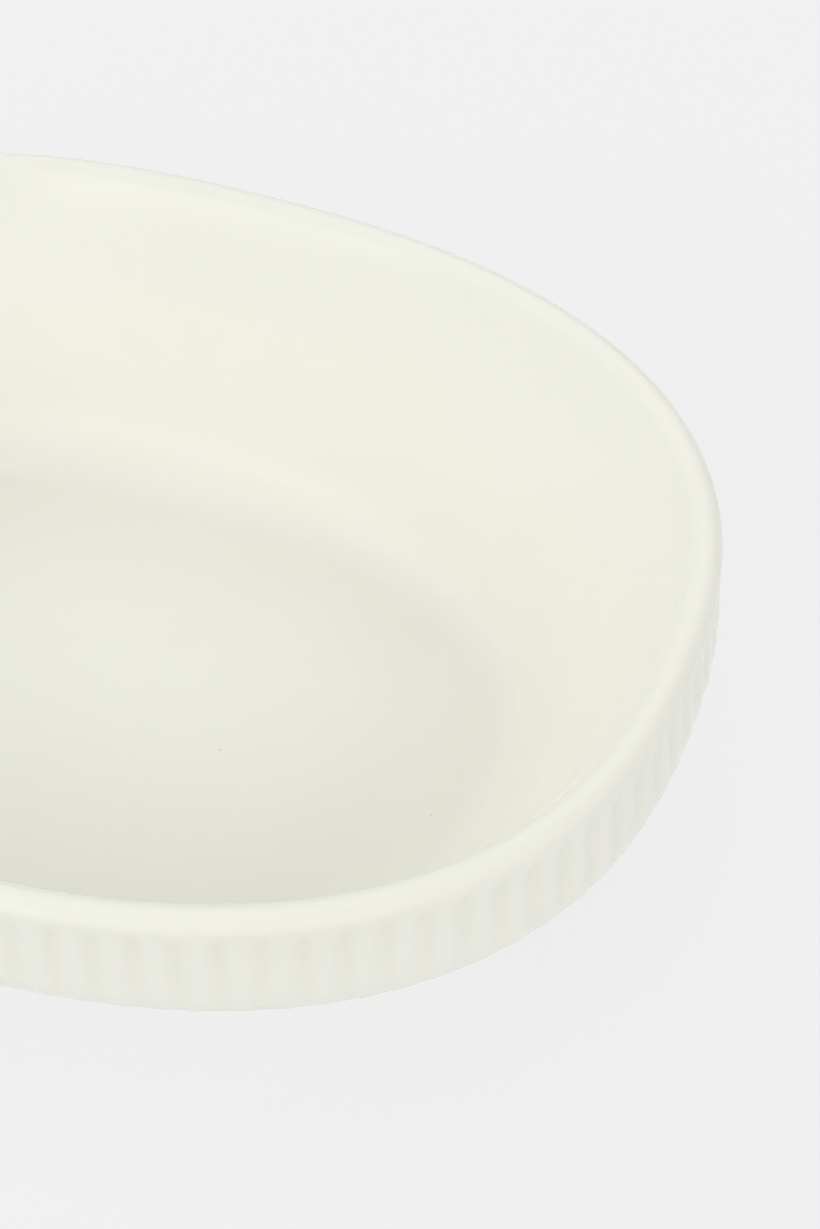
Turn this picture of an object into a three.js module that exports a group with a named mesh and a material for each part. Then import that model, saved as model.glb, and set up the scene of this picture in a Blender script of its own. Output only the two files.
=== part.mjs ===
// Oval baking dish of glazed porcelain with a reeded outside wall.
// Millimetres, +Z up. The origin is on the table under the middle of the dish,
// +X runs along the dish and +Y across it.
import * as THREE from 'three';

// Size over the crests of the reeds where the wall stands upright, and over all in height
const LENGTH = 241.8;
const WIDTH = 183.3;
const HEIGHT = 65.6;
const OVAL_POWER = 2.364;

// Rim: a round crest that runs into the bowl on one side and swells into the reeds on the other.
// Insets are measured inward from the oval over the reeds, angles are in degrees.
const RIM_RADIUS = 3;
const RIM_INSET = 3.9;
const RIM_SHOULDER = 30;

// Bowl
const FLOOR_INSET = 41;
const FLOOR_THICKNESS = 5.5;
const BOWL_FLARE = 30;
const BOWL_UPRIGHT = 22;
const BOWL_REACH = 12;

// Foot ring that the dish stands on, bare of glaze
const FOOT_INSET = 35;
const FOOT_WIDTH = 4.5;
const FOOT_HEIGHT = 2;
const FOOT_DRAFT = 1.2;

// Reeds of the outside wall, which run out towards the foot
const REED_COUNT = 102;
const REED_DEPTH = 0.55;
const REED_DROP = 4.3;

// How the outside wall leaves the rim upright and turns under to the foot
const WALL_UPRIGHT = 23.9;
const WALL_UNDERCUT_REACH = 40.1;
const WALL_UNDERCUT_RISE = 44;

// Glaze on every face but the foot
const GLAZE = 0.3;

// How finely the curves are divided
const BOWL_STEPS = 6;
const CREST_STEPS = 4;
const REED_POINTS = 3;
const OVAL_SAMPLES = 7200;
const WALL_ROWS = [0, 0.36, 0.58];

const rimCentre = HEIGHT - RIM_RADIUS;
const floorTop = FOOT_HEIGHT + FLOOR_THICKNESS;
const flare = THREE.MathUtils.degToRad(BOWL_FLARE);
const shoulder = Math.PI - THREE.MathUtils.degToRad(RIM_SHOULDER);
const reedTop = HEIGHT - REED_DROP;

// Plan oval

// A point of the superellipse that the crests of the reeds follow, with its outward normal.
function ovalAt(angle) {
  const halfLength = LENGTH / 2;
  const halfWidth = WIDTH / 2;
  const c = Math.cos(angle);
  const s = Math.sin(angle);
  const bend = 2 / OVAL_POWER;
  const x = halfLength * Math.sign(c) * Math.abs(c) ** bend;
  const y = halfWidth * Math.sign(s) * Math.abs(s) ** bend;
  const nx = Math.sign(c) * Math.abs(c) ** (2 - bend) / halfLength;
  const ny = Math.sign(s) * Math.abs(s) ** (2 - bend) / halfWidth;
  const length = Math.hypot(nx, ny);
  return { x, y, nx: nx / length, ny: ny / length };
}

// The same oval divided into equal steps of its length, so that the reeds are evenly pitched.
// One quarter is divided and mirrored, which keeps the four quarters alike. The first point lies
// half a reed from the end of the oval, so that a crest stands on the end.
function evenOval(count) {
  const quarter = Math.PI / 2;
  const steps = OVAL_SAMPLES / 4;
  const run = [0];
  let before = ovalAt(0);
  for (let i = 1; i <= steps; i += 1) {
    const here = ovalAt(quarter * i / steps);
    run.push(run[i - 1] + Math.hypot(here.x - before.x, here.y - before.y));
    before = here;
  }
  const angleAt = (distance) => {
    let i = 1;
    while (i < steps && run[i] < distance) i += 1;
    const part = (distance - run[i - 1]) / (run[i] - run[i - 1]);
    return quarter * (i - 1 + part) / steps;
  };
  const points = [];
  for (let j = 0; j < count; j += 1) {
    const turn = 4 * (j / count + 0.5 / REED_COUNT);
    const corner = Math.floor(turn + 1e-9);
    const odd = corner % 2 === 1;
    const share = turn - corner;
    const local = angleAt(run[steps] * (odd ? 1 - share : share));
    points.push(ovalAt(odd ? (corner + 1) * quarter - local : corner * quarter + local));
  }
  return points;
}

const plainColumns = evenOval(REED_COUNT);
const reedColumns = evenOval(REED_COUNT * REED_POINTS);

// Section of the dish

// A ring is one height of the section taken all round the oval.
// groove is how much deeper the lines between the reeds lie than their crests.
let ringOrder = 0;
function ring(inset, z, groove = 0, reeded = false) {
  ringOrder += 1;
  return { inset, z, groove, reeded, order: ringOrder };
}

// A point of the body's round crest. The angle is 0 towards the bowl and half a turn outside.
function crestPoint(angle) {
  const radius = RIM_RADIUS - GLAZE;
  return new THREE.Vector2(RIM_INSET + radius * Math.cos(angle), rimCentre + radius * Math.sin(angle));
}

// Inside of the bowl: one curve from the flat floor up to the rim, level at its foot and flared
// at its top.
function bowlRings() {
  const floor = new THREE.Vector2(FLOOR_INSET, floorTop - GLAZE);
  const top = crestPoint(flare);
  const curve = new THREE.CubicBezierCurve(
    floor,
    new THREE.Vector2(floor.x - BOWL_REACH, floor.y),
    new THREE.Vector2(top.x + BOWL_UPRIGHT * Math.sin(flare), top.y - BOWL_UPRIGHT * Math.cos(flare)),
    top,
  );
  return curve.getPoints(BOWL_STEPS).slice(0, -1).map((point) => ring(point.x, point.y));
}

// Rim: from the bowl over the crest and half way down its outer shoulder, which runs on in a
// curve to the upright face of the reeds.
function rimRings() {
  const rings = [];
  for (let i = 0; i <= CREST_STEPS; i += 1) {
    const point = crestPoint(flare + (shoulder - flare) * i / CREST_STEPS);
    rings.push(ring(point.x, point.y));
  }
  const outer = crestPoint(shoulder);
  const fall = (outer.x - GLAZE) * Math.tan(shoulder - Math.PI / 2);
  const swell = new THREE.QuadraticBezierCurve(
    outer,
    new THREE.Vector2(GLAZE, outer.y - fall),
    new THREE.Vector2(GLAZE, reedTop),
  );
  const point = swell.getPoint(0.5);
  rings.push(ring(point.x, point.y));
  return rings;
}

// Outside wall: the reeds stand upright under the rim and then turn under to the foot.
function wallRings() {
  const end = new THREE.Vector2(FOOT_INSET, FOOT_HEIGHT);
  const curve = new THREE.CubicBezierCurve(
    new THREE.Vector2(GLAZE, reedTop),
    new THREE.Vector2(GLAZE, reedTop - WALL_UPRIGHT),
    new THREE.Vector2(end.x - WALL_UNDERCUT_REACH, end.y + WALL_UNDERCUT_RISE),
    end,
  );
  const rings = [];
  for (const share of WALL_ROWS) {
    const point = curve.getPoint(share);
    rings.push(ring(point.x, point.y, REED_DEPTH * (1 - share * share), true));
  }
  rings.push(ring(end.x, end.y));
  return rings;
}

// Foot ring and the recess that it surrounds.
function footRings() {
  const inner = FOOT_INSET + FOOT_DRAFT + FOOT_WIDTH;
  return [
    ring(FOOT_INSET + FOOT_DRAFT, 0),
    ring(inner, 0),
    ring(inner + FOOT_DRAFT, FOOT_HEIGHT),
  ];
}

// The same rings raised off the body by the glaze, square to the section.
function glazed(rings, before, after) {
  return rings.map((here, i) => {
    const back = i > 0 ? rings[i - 1] : before;
    const next = i < rings.length - 1 ? rings[i + 1] : after;
    const along = new THREE.Vector2(next.inset - back.inset, next.z - back.z).normalize();
    const inset = here.inset + GLAZE * along.y;
    const z = here.z - GLAZE * along.x;
    return ring(inset, z, here.groove, here.reeded);
  });
}

// Meshes

// Points of one ring, all round.
function ringPoints({ inset, z, groove, reeded }) {
  const columns = reeded ? reedColumns : plainColumns;
  return columns.map((p, j) => {
    const depth = inset + (j % REED_POINTS === 0 ? groove : 0);
    return [p.x - p.nx * depth, p.y - p.ny * depth, z];
  });
}

// Triangles between two rings. Which way the squares are split depends on the rings alone,
// so two pieces that share a surface split it alike.
function strip(a, b, indexA, indexB, faces) {
  const put = (i, j, k) => faces.push(i, j, k);
  if (a.reeded === b.reeded) {
    const count = indexA.length;
    for (let j = 0; j < count; j += 1) {
      const k = (j + 1) % count;
      if (a.order < b.order) {
        put(indexA[j], indexB[j], indexB[k]);
        put(indexA[j], indexB[k], indexA[k]);
      } else {
        put(indexA[j], indexB[j], indexA[k]);
        put(indexA[k], indexB[j], indexB[k]);
      }
    }
    return;
  }
  const flip = a.reeded;
  const coarse = flip ? indexB : indexA;
  const fine = flip ? indexA : indexB;
  const lay = flip ? (i, j, k) => put(i, k, j) : put;
  const middle = Math.ceil(REED_POINTS / 2);
  for (let j = 0; j < coarse.length; j += 1) {
    const here = coarse[j];
    const next = coarse[(j + 1) % coarse.length];
    for (let i = 0; i < REED_POINTS; i += 1) {
      const first = fine[j * REED_POINTS + i];
      const second = fine[(j * REED_POINTS + i + 1) % fine.length];
      if (i === middle) lay(here, first, next);
      lay(i < middle ? here : next, first, second);
    }
  }
}

// Closed skin over a chain of rings. A chain that starts and ends on the middle of the dish is
// capped there; a chain that comes back to its first ring closes on itself.
function closedSkin(rings, capped) {
  const positions = [];
  const faces = [];
  const indices = rings.map((r) => ringPoints(r).map((point) => {
    positions.push(...point);
    return positions.length / 3 - 1;
  }));
  for (let i = 0; i + 1 < rings.length; i += 1) {
    strip(rings[i], rings[i + 1], indices[i], indices[i + 1], faces);
  }
  const last = rings.length - 1;
  if (capped) {
    const cap = (r, index, outward) => {
      positions.push(0, 0, r.z);
      const middle = positions.length / 3 - 1;
      index.forEach((p, j) => {
        const q = index[(j + 1) % index.length];
        if (outward) faces.push(middle, p, q);
        else faces.push(middle, q, p);
      });
    };
    cap(rings[0], indices[0], true);
    cap(rings[last], indices[last], false);
  } else {
    strip(rings[last], rings[0], indices[last], indices[0], faces);
  }
  const geometry = new THREE.BufferGeometry();
  geometry.setAttribute('position', new THREE.Float32BufferAttribute(positions, 3));
  geometry.setIndex(faces);
  geometry.computeVertexNormals();
  return geometry;
}

function piece(name, geometry, colour, roughness) {
  const material = new THREE.MeshStandardMaterial({ color: colour, roughness, metalness: 0 });
  const mesh = new THREE.Mesh(geometry, material);
  mesh.name = name;
  return mesh;
}

// Pieces of the dish

const BISCUIT = 0xe6e0d2;
const IVORY_GLAZE = 0xefece0;

const bowl = bowlRings();
const rim = rimRings();
const wall = wallRings();
const foot = footRings();
const seam = rim[rim.length - 1];
const insideFaces = [...bowl, ...rim];
const outsideFaces = [seam, ...wall];
const floorMiddle = { inset: FLOOR_INSET + GLAZE, z: bowl[0].z };

const insideGlaze = glazed(insideFaces, floorMiddle, wall[0]);
const outsideGlaze = glazed(outsideFaces, rim[rim.length - 2], foot[0]);
outsideGlaze[0] = insideGlaze[insideGlaze.length - 1];

const recess = foot[foot.length - 1];
const recessGlaze = ring(recess.inset, recess.z - GLAZE);

const dish = new THREE.Group();
dish.name = 'baking_dish';
dish.add(
  piece('porcelain_body', closedSkin([...insideFaces, ...wall, ...foot], true), BISCUIT, 0.75),
  piece('inside_glaze', closedSkin([...insideGlaze, ...insideFaces.toReversed()], true), IVORY_GLAZE, 0.12),
  piece('outside_glaze', closedSkin([...outsideGlaze, ...outsideFaces.toReversed()], false), IVORY_GLAZE, 0.15),
  piece('underside_glaze', closedSkin([recess, recessGlaze], true), IVORY_GLAZE, 0.2),
);

export default dish;
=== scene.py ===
# %% [markdown]
# An oval baking dish, dressed for its picture
# The dish is one piece of fired porcelain with a glossy ivory glaze. Its outside wall is reeded
# all round under a rounded rim, and turns under to a foot ring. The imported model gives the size
# and the place of everything, so it is loaded first and never moved.

# %% Load the frame
import math
from bisect import bisect_right

import bmesh
import bpy
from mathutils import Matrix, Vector


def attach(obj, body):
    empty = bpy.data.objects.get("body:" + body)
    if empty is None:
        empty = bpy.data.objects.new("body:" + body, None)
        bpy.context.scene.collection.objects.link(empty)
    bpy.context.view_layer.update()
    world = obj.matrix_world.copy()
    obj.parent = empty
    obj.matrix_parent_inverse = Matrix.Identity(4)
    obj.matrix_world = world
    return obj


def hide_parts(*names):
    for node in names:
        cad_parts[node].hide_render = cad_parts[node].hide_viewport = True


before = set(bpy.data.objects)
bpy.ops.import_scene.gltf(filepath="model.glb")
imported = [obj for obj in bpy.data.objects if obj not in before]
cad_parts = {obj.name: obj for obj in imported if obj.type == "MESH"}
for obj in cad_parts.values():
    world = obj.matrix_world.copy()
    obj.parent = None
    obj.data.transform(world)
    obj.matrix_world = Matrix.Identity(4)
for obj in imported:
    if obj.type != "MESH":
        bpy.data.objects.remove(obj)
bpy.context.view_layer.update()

MM = 0.001

# %% [markdown]
# The plan of the dish is a superellipse: an oval with long, nearly straight sides and full
# corners. It could be drawn as a curve, but a formula also gives the outward direction at every
# point, and that is what carries the reeds and the inward slope of the bowl. The oval is divided
# by its length and not by angle, because the potter's mould has evenly pitched reeds. Its four
# quarters are alike, so one is enough here.

# %% Plan oval, one quarter divided evenly along its length
HALF_LENGTH, HALF_WIDTH = 120.9 * MM, 91.65 * MM
OVAL_POWER = 2.364
OVAL_STEPS = 4000
QUARTER_TURN = math.pi / 2


def oval_point(angle):
    """A point of the oval and its outward direction."""
    c, s = math.cos(angle), math.sin(angle)
    bend = 2 / OVAL_POWER
    place = Vector((math.copysign(HALF_LENGTH * abs(c) ** bend, c),
                    math.copysign(HALF_WIDTH * abs(s) ** bend, s)))
    outward = Vector((math.copysign(abs(c) ** (2 - bend) / HALF_LENGTH, c),
                      math.copysign(abs(s) ** (2 - bend) / HALF_WIDTH, s)))
    return place, outward.normalized()


quarter_run = [0.0]
for step in range(1, OVAL_STEPS + 1):
    a = oval_point(QUARTER_TURN * (step - 1) / OVAL_STEPS)[0]
    b = oval_point(QUARTER_TURN * step / OVAL_STEPS)[0]
    quarter_run.append(quarter_run[-1] + (b - a).length)
print("rim runs", round(4 * quarter_run[-1] / MM), "mm round")


def quarter_point(share):
    """The point at a share of one quarter's length, from the dish's end to its side."""
    target = share * quarter_run[-1]
    low = min(bisect_right(quarter_run, target), OVAL_STEPS) - 1
    part = (target - quarter_run[low]) / (quarter_run[low + 1] - quarter_run[low])
    return oval_point(QUARTER_TURN * (low + part) / OVAL_STEPS)


# %% [markdown]
# The section is the line that a template would cut through the wall. Each of its points holds how
# far it lies in from the oval over the reeds, its height, how strongly the reeds show there, and
# how much deeper the glaze's colour is there: thicker glaze in places, and painted shade on the
# floor, the rim and just under it. Two curves and one arc are enough. The arc comes first, because
# both curves end on it: it is the rounded rim, from the lip of the bowl over the crest to the
# outside.

# %% Section of the rim
HEIGHT = 65.6 * MM
RIM_RADIUS, RIM_INSET = 3 * MM, 3.9 * MM
BOWL_FLARE = math.radians(30)
RIM_STEPS = 16
# The rim's crest and outer side take a deeper colour: painted shade on the rim.
RIM_SHADE, RIM_SHADE_STEPS = 0.5, 4
rim_centre = HEIGHT - RIM_RADIUS


def smooth_share(value, start, end):
    """0 before the start and 1 after the end, with a soft rise between them."""
    share = min(max((value - start) / (end - start), 0.0), 1.0)
    return share * share * (3 - 2 * share)


def crest_point(angle):
    return RIM_INSET + RIM_RADIUS * math.cos(angle), rim_centre + RIM_RADIUS * math.sin(angle)


rim_line = []
for step in range(RIM_STEPS + 1):
    angle = BOWL_FLARE + (math.pi - BOWL_FLARE) * step / RIM_STEPS
    rim_line.append((*crest_point(angle), 0, RIM_SHADE * smooth_share(step, 0, RIM_SHADE_STEPS)))
print("rim has", len(rim_line), "points")

# %% [markdown]
# The floor is flat, and the bowl rises from it in one sweep to the lip. A cubic curve with four
# hooks draws that sweep: it leaves the floor level and meets the rim at the bowl's flare.

# %% Section of the floor and the bowl
FLOOR_INSET, FLOOR_TOP = 41 * MM, 7.5 * MM
FLOOR_SHARES = (0.0, 0.3, 0.6, 0.82, 0.94)
# The floor darkens towards its edge and the foot of the bowl, and this fades out up the bowl:
# painted shade in the turn from floor to wall.
FLOOR_SHADE, FLOOR_SHADE_EBB = 0.4, (0.1, 0.6)
BOWL_UPRIGHT, BOWL_REACH = 22 * MM, 12 * MM
BOWL_STEPS = 22
floor_radius = HALF_LENGTH - FLOOR_INSET


def cubic(hooks, share):
    rest = 1 - share
    weights = (rest ** 3, 3 * rest * rest * share, 3 * rest * share * share, share ** 3)
    return [sum(w * p[axis] for w, p in zip(weights, hooks)) for axis in (0, 1)]


floor_line = [(HALF_LENGTH - floor_radius * share, FLOOR_TOP, 0, FLOOR_SHADE * share)
              for share in FLOOR_SHARES]
lip = crest_point(BOWL_FLARE)
bowl_hooks = ((FLOOR_INSET, FLOOR_TOP),
              (FLOOR_INSET - BOWL_REACH, FLOOR_TOP),
              (lip[0] + BOWL_UPRIGHT * math.sin(BOWL_FLARE),
               lip[1] - BOWL_UPRIGHT * math.cos(BOWL_FLARE)),
              lip)
bowl_line = []
for step in range(BOWL_STEPS):
    share = step / BOWL_STEPS
    pool_and_shade = FLOOR_SHADE * (1 - smooth_share(share, *FLOOR_SHADE_EBB))
    bowl_line.append((*cubic(bowl_hooks, share), 0, pool_and_shade))
print("bowl is", round((lip[1] - FLOOR_TOP) / MM, 1), "mm deep up to its lip")

# %% [markdown]
# The outside wall swells a little under the rim, where the grooves begin, and turns under to the
# foot. It is a cubic curve too. Its points crowd near the rim, where the reeds grow from nothing
# to their full depth within a few millimetres. Lower down they ebb, and the foot has none.

# %% Section of the reeded wall
FOOT_INSET, FOOT_HEIGHT = 35 * MM, 2 * MM
WALL_LEAN, WALL_UPRIGHT = 0.6 * MM, 30.7 * MM
WALL_UNDERCUT_REACH, WALL_UNDERCUT_RISE = 42.4 * MM, 52 * MM
WALL_STEPS, WALL_CROWDING = 28, 1.3
# Just under the rim the wall takes a deeper colour: painted shade under the rim.
WALL_TOP_SHADE, WALL_TOP_SHADE_END = 0.2, 0.15
REED_COUNT, REED_DEPTH, REED_FADE = 102, 0.65 * MM, 4 * MM
REED_LOSS, REED_EBB = 0.65, (0.12, 0.45)

wall_start, wall_end = crest_point(math.pi), (FOOT_INSET, FOOT_HEIGHT)
wall_hooks = (wall_start,
              (wall_start[0] - WALL_LEAN, wall_start[1] - WALL_UPRIGHT),
              (wall_end[0] - WALL_UNDERCUT_REACH, wall_end[1] + WALL_UNDERCUT_RISE),
              wall_end)
wall_line = []
for step in range(1, WALL_STEPS + 1):
    share = (step / WALL_STEPS) ** WALL_CROWDING
    inset, z = cubic(wall_hooks, share)
    growth = smooth_share(rim_centre - z, 0, REED_FADE)
    ebb = 1 - REED_LOSS * smooth_share(share, *REED_EBB)
    pool_and_shade = WALL_TOP_SHADE * (1 - smooth_share(share, 0, WALL_TOP_SHADE_END))
    wall_line.append((inset, z, growth * ebb * (1 - share * share), pool_and_shade))

finished_line = floor_line + bowl_line + rim_line + wall_line
print("section has", len(finished_line), "points")

# %% [markdown]
# A line that lies a glaze's thickness under the finished one is needed twice: it is the back of
# the glaze and the face of the biscuit body. Each point steps back square to its neighbours. These
# two faces are hidden, so one point in three is enough for them.

# %% Section under the glaze
GLAZE = 0.3 * MM
GLAZE_GAP = 0.02 * MM
HIDDEN_STRIDE = 3


def sunk(line, depth):
    """The line moved in by a depth, square to itself, and straight down at the dish's middle."""
    result = []
    for i, (inset, z, reed, pool_and_shade) in enumerate(line):
        before, after = line[max(i - 1, 0)], line[min(i + 1, len(line) - 1)]
        along = Vector((after[0] - before[0], after[1] - before[1])).normalized()
        result.append((inset - depth * along.y, z + depth * along.x, reed, pool_and_shade))
    result[0] = (line[0][0], line[0][1] - depth, line[0][2], line[0][3])
    return result


def thinned(line):
    return line[:-1:HIDDEN_STRIDE] + line[-1:]


glaze_back = thinned(sunk(finished_line, GLAZE))
body_face = thinned(sunk(finished_line, GLAZE + GLAZE_GAP))
print("body rim lies", round((HEIGHT - max(p[1] for p in body_face)) / MM, 2), "mm under the glaze")

# %% [markdown]
# A reed is a rounded rib with a groove on each side. Its relief is worked out from the share of
# the way round the dish, so that it can be laid on any column of the mesh. A plain cosine would
# have a sharp groove once its sign is dropped, so the groove is softened a little.

# %% Relief of the reeds
COLUMNS_PER_REED = 8
GROOVE_SOFTNESS = 0.30
fine_columns = REED_COUNT * COLUMNS_PER_REED


def reed_relief(turn):
    """1 on the crest of a reed and 0 in the groove between two, with a softly rounded groove."""
    wave = math.cos(math.pi * turn * REED_COUNT)
    top = math.sqrt(1 + GROOVE_SOFTNESS ** 2) - GROOVE_SOFTNESS
    return (math.sqrt(wave * wave + GROOVE_SOFTNESS ** 2) - GROOVE_SOFTNESS) / top


print("a reed is", round(4 * quarter_run[-1] / REED_COUNT / MM, 2), "mm wide")

# %% [markdown]
# A round pot is thrown, so the mesh starts the same way: the section is laid in the XZ plane and
# spun a quarter round. Two layers on its vertices, one for the reeds and one for pooled glaze with
# painted shade, ride along with the spin. Then every vertex moves to the oval: its angle says where
# along the rim it belongs, and its distance from the axis says how far inside the rim's edge it
# lies. On the floor the oval simply shrinks to the middle. The grooves are pushed in between the
# crests at the same time, and take a deeper colour: thicker glaze and painted shade in the grooves.
# The four quarters are alike, so two mirrors complete the dish; drawing it face by face would give
# the same mesh with far more code.

# %% Spin a section and press it to the reeded oval
SEAM = 1e-7


def press_to_oval(mesh, columns, reed_layer, pool_and_shade_layer):
    """Every vertex moves to the oval; the grooves get thicker glaze and painted shade."""
    quarter = columns // 4
    rays = [quarter_point(column / quarter) for column in range(quarter + 1)]
    for vert in mesh.verts:
        radius = math.hypot(vert.co.x, vert.co.y)
        column = round(math.atan2(vert.co.y, vert.co.x) / (2 * math.pi) * columns)
        place, outward = rays[column]
        groove = 1 - reed_relief(column / columns)
        if radius < floor_radius:
            spot = (place - outward * FLOOR_INSET) * (radius / floor_radius)
        else:
            spot = place - outward * (HALF_LENGTH - radius + REED_DEPTH * groove * vert[reed_layer])
        # Painted shade in the grooves, together with thicker glaze there, deepens the colour layer.
        vert[pool_and_shade_layer] = min(1.0, vert[pool_and_shade_layer] + groove * vert[reed_layer])
        vert.co.x, vert.co.y = (0 if abs(c) < SEAM else c for c in spot)


def linked_piece(name, mesh):
    """A finished bmesh becomes an object of its own at the origin."""
    data = bpy.data.meshes.new(name)
    mesh.to_mesh(data)
    mesh.free()
    piece = bpy.data.objects.new(name, data)
    bpy.context.collection.objects.link(piece)
    print(name, len(data.polygons), "faces")
    return piece


def spun_dish(name, line, columns):
    mesh = bmesh.new()
    reed_layer = mesh.verts.layers.float.new("reed")
    pool_and_shade_layer = mesh.verts.layers.float.new("pool_and_shade")
    verts = []
    for inset, z, reed, pool_and_shade in line:
        vert = mesh.verts.new((HALF_LENGTH - inset, 0, z))
        vert[reed_layer], vert[pool_and_shade_layer] = reed, pool_and_shade
        verts.append(vert)
    edges = [mesh.edges.new(pair) for pair in zip(verts, verts[1:])]
    bmesh.ops.spin(mesh, geom=verts + edges, cent=(0, 0, 0), axis=(0, 0, 1), dvec=(0, 0, 0),
                   angle=QUARTER_TURN, steps=columns // 4, use_merge=False, use_duplicate=False)
    press_to_oval(mesh, columns, reed_layer, pool_and_shade_layer)
    for axis in ("X", "Y"):
        everything = mesh.verts[:] + mesh.edges[:] + mesh.faces[:]
        bmesh.ops.mirror(mesh, geom=everything, axis=axis, merge_dist=SEAM)
    bmesh.ops.remove_doubles(mesh, verts=mesh.verts, dist=SEAM)
    bmesh.ops.recalc_face_normals(mesh, faces=mesh.faces)
    for face in mesh.faces:
        face.smooth = True
    return linked_piece(name, mesh)


# %% [markdown]
# The glaze is a closed skin: it runs over the floor, the bowl, the rim and the reeds, turns round
# its own edge above the foot and comes back along its underside.

# %% Glaze coat
glaze_coat = spun_dish("glaze_coat", finished_line + glaze_back[::-1], fine_columns)

# %% [markdown]
# Under the glaze sits the biscuit body, which shows only as the bare foot ring. The ring tapers to
# a flat standing face, and its two edges are rounded alike, so one list of points serves both: how
# far past the edge and how high, in shares of the rounding. A bevel on the finished ring would
# round them too, but here they are drawn in the section, which is spun anyway.

# %% Porcelain body with its foot ring
FOOT_WIDTH = 4.5 * MM
FOOT_DRAFT = 1.2 * MM
FOOT_ROUND = 0.5 * MM
FOOT_BEND = (FOOT_DRAFT * 0.4, FOOT_HEIGHT * 0.6)
FOOT_EDGE = ((-0.2, 1), (0.3, 0.3), (1, 0))

foot_outer = FOOT_INSET + FOOT_DRAFT
foot_inner = foot_outer + FOOT_WIDTH
recess_edge = foot_inner + FOOT_DRAFT
foot_line = [(foot_outer - FOOT_BEND[0], FOOT_BEND[1], 0, 0)]
for over, rise in FOOT_EDGE:
    foot_line.append((foot_outer + FOOT_ROUND * over, FOOT_ROUND * rise, 0, 0))
for over, rise in reversed(FOOT_EDGE):
    foot_line.append((foot_inner - FOOT_ROUND * over, FOOT_ROUND * rise, 0, 0))
for inset in (recess_edge, HALF_LENGTH):
    foot_line.append((inset, FOOT_HEIGHT + GLAZE_GAP, 0, 0))
porcelain = spun_dish("porcelain", body_face + foot_line, fine_columns)

# %% [markdown]
# The recess inside the foot ring has a glaze of its own, which gathers in a small bead along the
# ring. Its edge is written in glaze thicknesses: how far in, how deep, and how much glaze pools.

# %% Underside glaze
RECESS_BEAD = ((0, 0, 1), (-0.3, 0.4, 1), (2, 1, 0.6), (12, 1, 0))

recess_line = [(HALF_LENGTH, FOOT_HEIGHT, 0, 0)]
for over, deep, pool_and_shade in RECESS_BEAD:
    recess_line.append((recess_edge + GLAZE * over, FOOT_HEIGHT - GLAZE * deep, 0, pool_and_shade))
recess_line.append((HALF_LENGTH, FOOT_HEIGHT - GLAZE, 0, 0))
underside = spun_dish("underside", recess_line, fine_columns // 2)

# %% [markdown]
# The finishes are built from nodes that read Object coordinates and the layer of pooled glaze and
# painted shade. A picture could be wrapped round the dish, but nodes stay sharp from near by and
# need no unwrapping. A few small helpers make a node, set it and wire it, so that each finish reads
# as a short recipe.


# %% Helpers for the finishes
def new_material(name):
    material = bpy.data.materials.new(name)
    material.use_nodes = True
    tree = material.node_tree
    place = tree.nodes.new("ShaderNodeTexCoord")
    return material, tree, tree.nodes["Principled BSDF"], place.outputs["Object"]


def feed(tree, value, socket):
    """A socket takes either a wire from another node or a plain value."""
    if isinstance(value, bpy.types.NodeSocket):
        tree.links.new(value, socket)
    else:
        socket.default_value = value


def noise(tree, place, scale, detail):
    texture = tree.nodes.new("ShaderNodeTexNoise")
    for name, value in (("Vector", place), ("Scale", scale), ("Detail", detail)):
        feed(tree, value, texture.inputs[name])
    return texture.outputs["Fac"]


def ramp(tree, value, span, result):
    """A value moved from one span of numbers to another, and held at its ends."""
    spread = tree.nodes.new("ShaderNodeMapRange")
    feed(tree, value, spread.inputs["Value"])
    for name, number in zip(("From Min", "From Max", "To Min", "To Max"), span + result):
        feed(tree, number, spread.inputs[name])
    return spread.outputs["Result"]


def reckon(tree, operation, *values):
    node = tree.nodes.new("ShaderNodeMath")
    node.operation = operation
    for value, socket in zip(values, node.inputs):
        feed(tree, value, socket)
    return node.outputs[0]


def mix_colour(tree, factor, first, second):
    mix = tree.nodes.new("ShaderNodeMix")
    mix.data_type = "RGBA"
    for name, value in (("Factor", factor), ("A", first), ("B", second)):
        feed(tree, value, mix.inputs[name])
    return mix.outputs["Result"]


def emboss(tree, shader, height, strength, distance):
    bump = tree.nodes.new("ShaderNodeBump")
    for name, value in (("Strength", strength), ("Distance", distance), ("Height", height)):
        feed(tree, value, bump.inputs[name])
    feed(tree, bump.outputs["Normal"], shader.inputs["Normal"])


# %% [markdown]
# The finish is a clear glaze with a little iron in it over white porcelain, so it reads as warm
# ivory. It is glossy, with the faint waviness of a melted coat. It is slightly deeper in colour in
# the grooves, on the floor, along the rim and just under it: painted shade there, with thicker
# glaze in the grooves and along the foot's recess. It is a little cloudy all over. A few pin-sized
# darker specks come from the kiln: a Voronoi texture places the dots, and a coarse noise keeps only
# those in a few patches. Scales are in cells to the metre.

# %% Ivory glaze
IVORY = (0.86, 0.86, 0.79, 1)
IVORY_POOLED_AND_SHADED = (0.81, 0.805, 0.71, 1)
POOL_AND_SHADE_TINT = 0.55
CLOUD_SCALE, CLOUD_SPAN, CLOUD_TINT = 22, (0.35, 0.65), (0.0, 0.12)
SPECK = (0.73, 0.71, 0.63, 1)
SPECK_SCALE, SPECK_EDGE = 75, (0.034, 0.016)
PATCH_SCALE, PATCH_EDGE = 38, (0.66, 0.68)
SHEEN_SCALE, SHEEN_SPAN, SHEEN_ROUGHNESS = 60, (0.3, 0.7), (0.14, 0.19)
WAVE_SCALE, WAVE_STRENGTH, WAVE_HEIGHT = 120, 0.05, 0.4 * MM
GLAZE_IOR = 1.5


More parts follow.
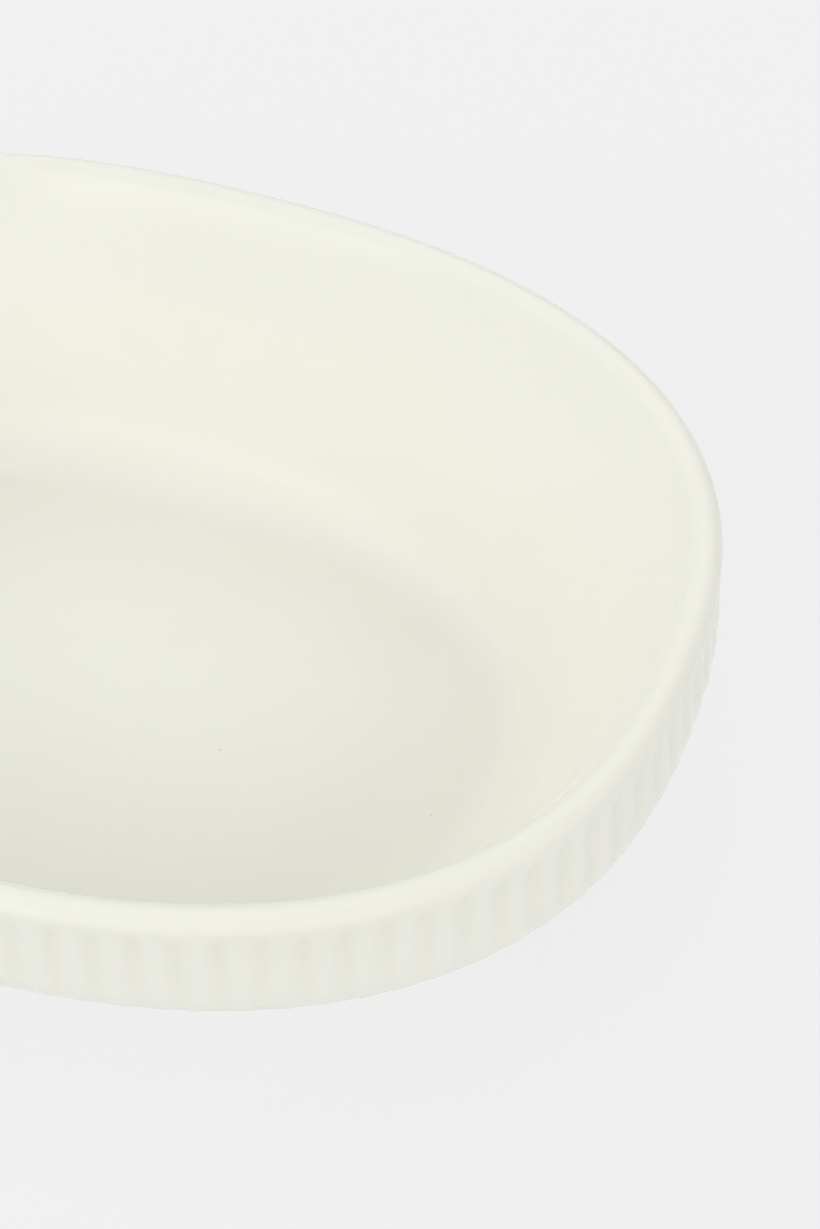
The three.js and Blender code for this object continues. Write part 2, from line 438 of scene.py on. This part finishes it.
def glaze_material():
    material, tree, shader, place = new_material("ivory_glaze")
    pool_and_shade = tree.nodes.new("ShaderNodeAttribute")
    pool_and_shade.attribute_name = "pool_and_shade"
    cloud = ramp(tree, noise(tree, place, CLOUD_SCALE, detail=3), CLOUD_SPAN, CLOUD_TINT)
    # The deeper colour read from the layer is painted shade, together with pooled glaze.
    depth = reckon(tree, "MULTIPLY_ADD", pool_and_shade.outputs["Fac"], POOL_AND_SHADE_TINT, cloud)
    coat = mix_colour(tree, depth, IVORY, IVORY_POOLED_AND_SHADED)
    cells = tree.nodes.new("ShaderNodeTexVoronoi")
    feed(tree, SPECK_SCALE, cells.inputs["Scale"])
    feed(tree, place, cells.inputs["Vector"])
    dots = ramp(tree, cells.outputs["Distance"], SPECK_EDGE, (0, 1))
    patches = ramp(tree, noise(tree, place, PATCH_SCALE, detail=0), PATCH_EDGE, (0, 1))
    specks = reckon(tree, "MULTIPLY", dots, patches)
    feed(tree, mix_colour(tree, specks, coat, SPECK), shader.inputs["Base Color"])
    sheen = ramp(tree, noise(tree, place, SHEEN_SCALE, detail=2), SHEEN_SPAN, SHEEN_ROUGHNESS)
    feed(tree, sheen, shader.inputs["Roughness"])
    waves = noise(tree, place, WAVE_SCALE, detail=2)
    emboss(tree, shader, waves, WAVE_STRENGTH, WAVE_HEIGHT)
    feed(tree, GLAZE_IOR, shader.inputs["IOR"])
    return material


ivory_glaze = glaze_material()
for piece in (glaze_coat, underside):
    piece.data.materials.append(ivory_glaze)
print("ivory glaze has", len(ivory_glaze.node_tree.nodes), "nodes")

# %% [markdown]
# Biscuit is porcelain without glaze: matt, a little darker and greyer, with a fine sandy grain.
# It shows on the foot ring only.

# %% Bare biscuit
BISCUIT = (0.66, 0.61, 0.52, 1)
BISCUIT_DARK = (0.52, 0.46, 0.38, 1)
STAIN_SCALE, STAIN_SPAN, STAIN_TINT = 45, (0.45, 0.75), (0.0, 0.6)
GRAIN_SCALE, GRAIN_SPAN, GRAIN_ROUGHNESS = 900, (0.3, 0.7), (0.7, 0.9)
GRAIN_STRENGTH, GRAIN_HEIGHT = 0.25, 0.15 * MM


def biscuit_material():
    material, tree, shader, place = new_material("biscuit")
    grain = noise(tree, place, GRAIN_SCALE, detail=4)
    stain = ramp(tree, noise(tree, place, STAIN_SCALE, detail=4), STAIN_SPAN, STAIN_TINT)
    feed(tree, mix_colour(tree, stain, BISCUIT, BISCUIT_DARK), shader.inputs["Base Color"])
    feed(tree, ramp(tree, grain, GRAIN_SPAN, GRAIN_ROUGHNESS), shader.inputs["Roughness"])
    emboss(tree, shader, grain, GRAIN_STRENGTH, GRAIN_HEIGHT)
    return material


biscuit = biscuit_material()
porcelain.data.materials.append(biscuit)
print("biscuit has", len(biscuit.node_tree.nodes), "nodes")

# %% [markdown]
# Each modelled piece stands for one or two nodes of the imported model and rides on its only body.

# %% Tie the pieces to the frame
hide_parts("inside_glaze", "outside_glaze")
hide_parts("porcelain_body")
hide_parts("underside_glaze")
for piece, slot in ((glaze_coat, "glaze"), (underside, "glaze"), (porcelain, "biscuit")):
    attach(piece, "root")
    print(piece.name, "takes the slot", slot)

# %% [markdown]
# The camera stands near, less than half a metre away, so the far side of the rim looks smaller
# than the near one. It looks down at about forty-four degrees, from about a third of a quarter turn
# to the right of the front. The dish's middle falls near the left edge of the picture, so the
# camera is turned and not shifted. Its lens follows from the scale at the rim's middle.

# %% Camera
IMAGE_WIDTH, IMAGE_HEIGHT = 820, 1229
CENTRE_PIXEL = (89.17, 441.33)
PIXELS_PER_METRE = 5376
AZIMUTH, ELEVATION = math.radians(32.631), math.radians(44.491)
CAMERA_DISTANCE = 0.445427
SENSOR = 36
FARTHEST_SEEN = 100

back = Vector((math.sin(AZIMUTH) * math.cos(ELEVATION),
               -math.cos(AZIMUTH) * math.cos(ELEVATION),
               math.sin(ELEVATION)))
right = Vector((math.cos(AZIMUTH), math.sin(AZIMUTH), 0))
up = back.cross(right)
middle = Vector((0, 0, rim_centre))
aim = (middle + right * (IMAGE_WIDTH / 2 - CENTRE_PIXEL[0]) / PIXELS_PER_METRE
       - up * (IMAGE_HEIGHT / 2 - CENTRE_PIXEL[1]) / PIXELS_PER_METRE)


def turned_to(place, target):
    return (target - place).to_track_quat("-Z", "Y").to_euler()


camera_data = bpy.data.cameras.new("camera")
camera_data.sensor_width = SENSOR
camera_data.lens = PIXELS_PER_METRE * CAMERA_DISTANCE * SENSOR / IMAGE_HEIGHT
camera_data.clip_end = FARTHEST_SEEN
camera = bpy.data.objects.new("camera", camera_data)
camera.location = middle + back * CAMERA_DISTANCE
camera.rotation_euler = turned_to(camera.location, aim)
bpy.context.collection.objects.link(camera)
bpy.context.scene.camera = camera
print("lens", round(camera_data.lens), "mm")

# %% [markdown]
# The dish stands on a pale floor that runs on into a background of the same tone. A lit floor
# alone would darken towards its far end, so for the rays that show it, most of its tone is a glow
# of its own. The rest is lit, and that part carries the dish's soft shadow.

# %% Floor
PALE = (0.878, 0.878, 0.878, 1)
FLOOR_SIZE = 30
FLOOR_EVENNESS = 0.88


def shown_rays(tree):
    """1 for the rays that show the background: straight, mirrored or let through."""
    path = tree.nodes.new("ShaderNodeLightPath")
    total = path.outputs["Is Camera Ray"]
    for kind in ("Is Glossy Ray", "Is Transmission Ray"):
        total = reckon(tree, "MAXIMUM", total, path.outputs[kind])
    return total


def floor_material():
    material, tree, shader, _ = new_material("pale_floor")
    for name, value in (("Base Color", PALE), ("Roughness", 1.0), ("Specular IOR Level", 0.0)):
        feed(tree, value, shader.inputs[name])
    glow = tree.nodes.new("ShaderNodeEmission")
    feed(tree, PALE, glow.inputs["Color"])
    blend = tree.nodes.new("ShaderNodeMixShader")
    feed(tree, ramp(tree, shown_rays(tree), (0, 1), (0, FLOOR_EVENNESS)), blend.inputs["Fac"])
    feed(tree, shader.outputs["BSDF"], blend.inputs[1])
    feed(tree, glow.outputs["Emission"], blend.inputs[2])
    feed(tree, blend.outputs["Shader"], tree.nodes["Material Output"].inputs["Surface"])
    return material


floor_mesh = bmesh.new()
bmesh.ops.create_grid(floor_mesh, x_segments=2, y_segments=2, size=FLOOR_SIZE)
floor = linked_piece("floor", floor_mesh)
floor.data.materials.append(floor_material())

# %% [markdown]
# The world shows the same pale tone as the floor to the rays that see it, but lights the dish only
# weakly, because the lamps do that.

# %% World
AMBIENT = 0.25
world = bpy.data.worlds.new("studio")
bpy.context.scene.world = world
world.use_nodes = True
sky_tree = world.node_tree
sky = sky_tree.nodes["Background"]
feed(sky_tree, PALE, sky.inputs["Color"])
feed(sky_tree, ramp(sky_tree, shown_rays(sky_tree), (0, 1), (AMBIENT, 1)), sky.inputs["Strength"])
print("world lights at", AMBIENT, "of the tone that it shows")

# %% [markdown]
# The light is a tent: eight soft panels all round, strongest in front on the left, which leaves
# the near side of the bowl a little darker than the far one. A tent's walls leave no hard
# reflections, so the panels light but do not mirror. Two window panes in front do the opposite:
# they light nothing, and draw the soft pale patches on the inside of the far wall.

# %% Lamps
TENT_SIZE = (1.4, 1.4)
TENT = (("front", (0, -2.1, 1.05), 10.2),
        ("front_left", (-1.5, -1.4, 1.4), 15.8),
        ("left", (-2.1, 0, 1.2), 7.6),
        ("back_left", (-1.4, 1.5, 1.4), 9.3),
        ("back", (0, 2, 1.4), 9.3),
        ("right", (2.1, 0, 1.2), 13.9),
        ("front_right", (1.5, -1.4, 1.4), 9.4),
        ("top", (0, 0, 2.5), 12.8))
PANE_SIZE, PANE_POWER = (1.1, 0.4), 1.3
PANES = (("left", (-0.7, -2.0, 0.8)),
         ("right", (1.65, -2.0, 0.8)))


def panel(name, place, size, power):
    data = bpy.data.lights.new(name, "AREA")
    data.shape = "RECTANGLE"
    data.size, data.size_y = size
    data.energy = power
    lamp = bpy.data.objects.new(name, data)
    lamp.location = place
    lamp.rotation_euler = turned_to(lamp.location, middle)
    bpy.context.collection.objects.link(lamp)
    return lamp


for side, place, power in TENT:
    panel("tent_" + side, place, TENT_SIZE, power).visible_glossy = False
for side, place in PANES:
    panel("pane_" + side, place, PANE_SIZE, PANE_POWER).visible_diffuse = False
print(len(TENT), "tent panels and", len(PANES), "panes")

# %% [markdown]
# The last cell sets the picture's view transform and closes the scene.

# %% Finish
bpy.context.scene.view_settings.view_transform = "Standard"
